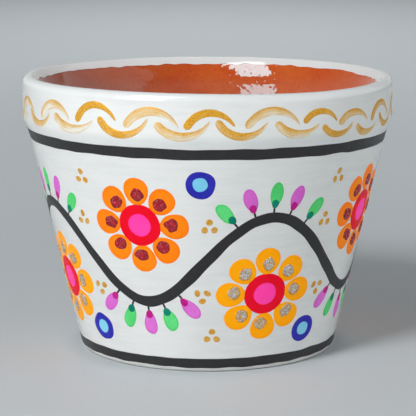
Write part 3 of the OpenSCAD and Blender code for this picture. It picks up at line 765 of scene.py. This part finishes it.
# heights of the flowers and of the ringed dots, above the vine and below it
frieze = {"upperZ": 55.8, "lowerZ": 29.8, "upperRingZ": 71.65, "lowerRingZ": 13.95}
bend, place = (v.ravel() for v in np.meshgrid(np.arange(8), np.arange(-2, 3), indexing="ij"))
leafTurn = vine["firstFlower"] + bend * math.pi / 4 + place * leaf["pitch"] / wallRadius(vine["middle"])
leafLevel = vineHeight(leafTurn)
leafAim = np.where(bend % 2 == 0, math.pi + place * leaf["spread"], -place * leaf["spread"])
leafPink = (place + 2 + bend) % 2 == 0


def turned(drawing, aim):
    # a drawing turned about its origin, counter-clockwise
    c, s = np.cos(aim)[:, None], np.sin(aim)[:, None]
    x, y = drawing[..., 0], drawing[..., 1]
    return np.stack([c * x - s * y, s * x + c * y], axis=-1)


def layDabs(label, drawing, middleY, aim, turn, level, **film):
    # dabs drawn upright about a middle on the y axis, each turned to its own aim and laid on the wall
    middle = turned(np.broadcast_to([[[0, middleY]]], (len(aim), 1, 2)), aim)[:, 0]
    points, marks = dabSheets(turned(drawing, aim), middle, turn, level, **film)
    layPiece(label, points, False, True, marks)


def eggs(around, count, orders, uneven, width, middleY, half, fuller):
    # eggs drawn by an angle: along each its cosine, across it its sine, fuller towards one end, unsteady
    size = 1 + wobble(around, count, orders, uneven)
    x = 0.5 * width * np.sin(around) * (1 + fuller * np.cos(around)) * size
    return np.stack([x, middleY + half * np.cos(around) * size], axis=-1)


def makeLeaves(label, which, size):
    # eggs from the stalk outwards, fuller past the middle
    start, end, width, lift = size
    count = which.sum()
    middleY = vine["width"] / 2 + leaf["stalk"] + 0.5 * (start + end)
    drawing = eggs(fullTurn(28), count, (1, 2, 3, 4), leaf["uneven"], width, middleY, 0.5 * (start - end),
                   -leaf["fuller"])
    aim = leafAim[which] + hand.normal(0, leaf["swing"], count)
    layDabs(label, drawing, middleY, aim, leafTurn[which], leafLevel[which], lift=lift)


for size, pinkLabel, greenLabel in (
        ("blade", ("pinkLeafDabs", "pink_leaves", "pink_paint", paints["pink"]),
         ("greenLeafDabs", "green_leaves", "green_paint", paints["green"])),
        ("root", ("magentaLeafRoots", "magenta_leaf_roots", "magenta_paint", paints["magenta"]),
         ("darkGreenLeafRoots", "dark_green_leaf_roots", "dark_green_paint", paints["darkGreen"]))):
    makeLeaves(pinkLabel, leafPink, leaf[size])
    makeLeaves(greenLabel, ~leafPink, leaf[size])


def makeStalks():
    # short lines from the vine to the leaves, drawn to a point at both ends
    t = np.linspace(0, 1, 10)
    y = vine["width"] / 2 - leaf["stalkSunk"] + t * (leaf["stalk"] + leaf["stalkOver"])
    bow = hand.normal(0, leaf["stalkBow"], (len(leafTurn), 1)) * np.sin(math.pi * t)
    path = turned(np.stack([bow, np.broadcast_to(y, bow.shape)], axis=-1), leafAim)
    half = np.broadcast_to(0.5 * leaf["stalkWidth"] * np.clip(4 * t * (1 - t), 0, 1)**0.3, bow.shape)
    points, marks = strokeSheets(path, half, leafTurn, leafLevel, onFrieze, np.ones(bow.shape))
    layPiece(("leafStalkLines", "leaf_stalks", "black_paint", blackPaint), points, True, False,
             paintMarks("dab", points, np.abs(marks["brush"][..., 1]), 0.4, 0.5))


makeStalks()

# eight flowers: orange ones above the vine and yellow ones below it, each of eight round petals about a red
# centre with a pink heart, and a dab of glitter on every petal
flower = {"petals": 8, "tip": 18.0, "rootAt": 7.5, "petalWidth": 9.5, "fuller": 0.13, "uneven": 0.018,
          "swing": 0.012, "centre": 8.0, "heart": 4.5, "overlap": 0.5}
glitterDab = {"at": 11.65, "radius": 2.5, "thickness": 0.3, "bumps": 0.07, "uneven": 0.09, "swing": 0.04,
              "stretch": (0.9, 1.14)}
dotLift = 0.03  # hearts and ringed dots stand so far above the paint round them
upperTurn = vine["firstFlower"] + np.arange(4) * math.pi / 2
lowerTurn = upperTurn + math.pi / 4
flowerTurn = np.r_[upperTurn, lowerTurn]
flowerLevel = np.repeat([frieze["upperZ"], frieze["lowerZ"]], 4)
petalAim = np.tile(fullTurn(flower["petals"]), 4)


def makePetals(label, turn, level):
    # eggs, narrower at the root, which is under the flower's centre
    count = len(petalAim)
    middleY, half = 0.5 * (flower["tip"] + flower["rootAt"]), 0.5 * (flower["tip"] - flower["rootAt"])
    drawing = eggs(fullTurn(40), count, (1, 2, 3, 4, 5), flower["uneven"], flower["petalWidth"], middleY,
                   half, flower["fuller"])
    aim = petalAim + hand.normal(0, flower["swing"], count)
    layDabs(label, drawing, middleY, aim, np.repeat(turn, flower["petals"]), np.full(count, level))


def makeGlitter(label, turn, level):
    # a rough heap: an uneven round outline under a dome with random bumps
    around = fullTurn(24)
    count = len(petalAim)
    radius = glitterDab["radius"] * (1 + wobble(around, count, (1, 2, 3, 4, 5, 6), glitterDab["uneven"]))
    stretch = hand.uniform(*glitterDab["stretch"], (count, 1))
    x, y = radius * np.cos(around) * stretch, glitterDab["at"] + radius * np.sin(around) / stretch
    aim = petalAim + hand.normal(0, glitterDab["swing"], count)
    bumps = hand.uniform(-glitterDab["bumps"], 0.0, (count, len(domeRings), len(around)))
    bumps[:, 0] = bumps[:, 0, :1]  # one height in the middle
    layDabs(label, np.stack([x, y], axis=-1), glitterDab["at"], aim, np.repeat(turn, flower["petals"]),
            np.full(count, level), thickness=glitterDab["thickness"], lift=filmThickness - 0.01,
            relief=bumps)


def circles(radius, uneven):
    # eight circles with an unsteady radius
    around = fullTurn(48)
    radii = radius * (1 + wobble(around, 8, (1, 2, 3, 4, 5), uneven))
    return np.stack([radii * np.cos(around), radii * np.sin(around)], axis=-1)


upper, lower = (upperTurn, frieze["upperZ"]), (lowerTurn, frieze["lowerZ"])
makePetals(("orangePetalDabs", "orange_petals", "orange_paint", paints["orange"]), *upper)
makePetals(("yellowPetalDabs", "yellow_petals", "yellow_paint", paints["yellow"]), *lower)
layRings(("redFlowerCentres", "red_flower_centres", "red_paint", paints["red"]),
         circles(flower["heart"] - flower["overlap"], 0.0), circles(flower["centre"], 0.02),
         flowerTurn, flowerLevel)
layDabs(("pinkFlowerHearts", "pink_flower_hearts", "bright_pink_paint", paints["heart"]),
        circles(flower["heart"], 0.035), 0.0, np.zeros(8), flowerTurn, flowerLevel, lift=dotLift)
makeGlitter(("redGlitterDabs", "red_glitter_dabs", "red_glitter_paint", redGlitter), *upper)
makeGlitter(("silverGlitterDabs", "silver_glitter_dabs", "silver_glitter_paint", silverGlitter), *lower)

# ringed dots and threes of gold dots in the gaps between vine, flowers and bands
dots = {"ring": 5.25, "ringDot": 2.8, "ringSetOff": 2.0, "overlap": 0.4, "goldDot": 1.2, "goldSpread": 2.0,
        "goldSetOff": 1.3, "uneven": 0.06, "stretch": (1.0, 1.18)}
crossing = np.arange(8)
crossingTurn = vine["firstFlower"] + (crossing + 0.5) * math.pi / 4
evenCrossing = crossing % 2 == 0


def besideCrossing(level, setOff):
    # angle of a place set off from a crossing by so many millimetres round the pot
    return crossingTurn + setOff / wallRadius(level)


ringLevel = np.where(evenCrossing, frieze["upperRingZ"], frieze["lowerRingZ"])
ringTurn = besideCrossing(ringLevel, -dots["ringSetOff"])
ringOutline = circles(dots["ring"], 0.035)
layRings(("blueDotRings", "blue_rings", "blue_paint", paints["blue"]),
         circles(dots["ringDot"] - dots["overlap"], 0.0), ringOutline, ringTurn, ringLevel)
layDabs(("skyBlueDots", "sky_blue_dots", "sky_blue_paint", paints["sky"]),
        circles(dots["ringDot"], 0.05), 0.0, np.zeros(8), ringTurn, ringLevel, lift=dotLift)


def makeGoldDots():
    # three touches of the brush about each place, each an uneven oval
    otherLevel = np.where(evenCrossing, frieze["lowerRingZ"], frieze["upperRingZ"])
    upperLevel, lowerLevel = np.full(8, frieze["upperZ"]), np.full(8, frieze["lowerZ"])
    side = np.where(evenCrossing, dots["goldSetOff"], -dots["goldSetOff"])
    turn = np.r_[besideCrossing(otherLevel, dots["ringSetOff"]), besideCrossing(upperLevel, side),
                 besideCrossing(lowerLevel, -side)]
    level = np.r_[otherLevel, upperLevel, lowerLevel]
    first = np.r_[np.zeros(16), np.full(8, math.pi)]
    turn, level, first = (np.repeat(v, 3) for v in (turn, level, first))
    count = len(turn)
    aim = first + np.tile(fullTurn(3), 24)
    around = fullTurn(20)
    radius = dots["goldDot"] * (1 + wobble(around, count, (1, 2, 3), dots["uneven"]))
    stretch = hand.uniform(*dots["stretch"], (count, 1))
    oval = np.stack([radius * np.cos(around) * stretch, radius * np.sin(around) / stretch], axis=-1)
    oval = turned(oval, hand.uniform(0, math.pi, count))
    centre = turned(np.broadcast_to([[[0, dots["goldSpread"]]]], (count, 1, 2)), aim)
    points, marks = dabSheets(oval + centre, centre[:, 0], turn, level)
    edge, tone, up = (marks["dab"][..., i] for i in range(3))
    run = 3 * edge + strokeGap * np.arange(count)[:, None, None]
    layPiece(("goldDotTouches", "gold_dots", "gold_paint", gold), points, False, True,
             paintMarks("brush", points, run, 0.6 * (2 * up - 1), 0.62 + 0.2 * tone))


makeGoldDots()
print("pot painted")

# pale grey paper under the pot with a fine tooth, lighter away from the pot as painted light where the lamps
# fall off
paper = {"near": "#CFD6DA", "far": "#DEE5E8", "fade": (100, 450), "toothMm": 1.5, "toothDepth": 0.05,
         "rings": (0, 100, 200, 350, 600, 1000, 1600, 2400, 6000), "columns": 96}


def makePaper():
    # rings of a flat round sheet, from the outside in so that it faces up
    material, put, place = newFinish("greyBackgroundPaper")
    away = put("VectorMath", {0: place}, operation="LENGTH")["Value"]
    # painted light: the colour lightens from 100 to 450 mm away from the pot
    start, end = paper["fade"]
    fade = put("MapRange", {"Value": away, "From": (start * mm, end * mm)},
               interpolation_type="SMOOTHSTEP")[0]
    tooth = put("TexNoise", {"Vector": place, "Scale": perMm(paper["toothMm"]), "Detail": 2.0})[0]
    colour = put("Mix", {0: fade, 6: paper["near"], 7: paper["far"]}, data_type="RGBA")[2]
    bump = put("Bump", {"Height": tooth, "Strength": 0.2, "Distance": paper["toothDepth"] * mm})[0]
    closeFinish(put, {"Base Color": colour, "Roughness": 0.6, "Normal": bump})
    r = np.array(paper["rings"][::-1])
    floor = newObject("studioPaper", spun(r, 0 * r, fullTurn(paper["columns"])), False, True, material)


makePaper()

# a key light in front on the left with a low fill beside it, which don't show in reflections, two boxes that
# only show in reflections, a white panel on the right, a low card in front on the right, a lamp on the paper
# far behind, and even light from all round; each light says where it differs from a plain one
plainLight = {"distance": 1.0, "aim": (0, 0, 0.08), "spread": 180, "shades": True, "mirrors": True}
studio = {
    "keyLight": {"bearing": -32, "rise": 42, "size": (0.25, 0.3), "power": 6.1, "mirrors": False},
    "leftFill": {"bearing": -72, "rise": 6, "size": (0.4, 0.3), "power": 1.3, "mirrors": False},
    "highBox": {"bearing": -41, "rise": 51, "size": (0.38, 0.54), "power": 5.5, "shades": False},
    "lowBox": {"bearing": -40, "rise": 13, "size": (0.52, 0.33), "power": 3.0, "shades": False},
    "sidePanel": {"bearing": 92, "rise": 29, "size": (1.25, 0.75), "power": 1.4, "distance": 0.8},
    "lowCard": {"bearing": 40, "rise": 2, "size": (1.3, 0.14), "power": 0.63, "distance": 0.9},
    "paperLamp": {"bearing": 180, "rise": 90, "size": (1.0, 1.7), "power": 3.25, "distance": 1.5,
                  "aim": (0, 1.5, 0), "spread": 70},
}
air = {"colour": "#F8FDFF", "horizon": 0.65, "zenith": 0.09, "zenithFrom": 0.65}


def addLight(name, light):
    # a rectangle of light at a bearing from the front, a rise above the table and a distance from its aim
    bearing, rise = math.radians(light["bearing"]), math.radians(light["rise"])
    lamp = bpy.data.lights.new(name, "AREA")
    lamp.shape = "RECTANGLE"
    lamp.size, lamp.size_y = light["size"]
    lamp.energy = light["power"]
    lamp.spread = math.radians(light["spread"])
    holder = bpy.data.objects.new(name, lamp)
    away = places(math.cos(rise), bearing, math.sin(rise))
    holder.location = np.array(light["aim"]) + light["distance"] * away
    holder.rotation_euler = (math.pi / 2 - rise, 0, bearing)
    holder.visible_camera = False
    holder.visible_diffuse, holder.visible_glossy = light["shades"], light["mirrors"]
    bpy.context.scene.collection.objects.link(holder)


for name, light in studio.items():
    addLight(name, {**plainLight, **light})
world = bpy.data.worlds.new("studioAir")
world.use_nodes = True
world.node_tree.nodes.clear()
putAir = partial(addNode, world.node_tree)
upward = putAir("SeparateXYZ", {"Vector": putAir("TexCoord")["Generated"]})["Z"]
climb = putAir("MapRange", {"Value": upward, "From": (0.0, air["zenithFrom"]),
                            "To": (air["horizon"], air["zenith"])}, interpolation_type="SMOOTHSTEP")[0]
sky = putAir("Background", {"Color": air["colour"], "Strength": climb})[0]
putAir("OutputWorld", {"Surface": sky})
bpy.context.scene.world = world
bpy.context.scene.view_settings.view_transform = "Standard"

# the photograph's view: a long lens a little above the rim, tipped down ten degrees
view = {"place": (0.0002, -0.691, 0.175), "tip": 10.1, "lens": 157.9, "sensor": 36}
lens = bpy.data.cameras.new("viewCamera")
lens.lens = view["lens"]
lens.sensor_width = view["sensor"]
camera = bpy.data.objects.new("viewCamera", lens)
camera.location = view["place"]
camera.rotation_euler = (math.radians(90 - view["tip"]), 0, 0)
bpy.context.scene.collection.objects.link(camera)
bpy.context.scene.camera = camera
print("studio ready")
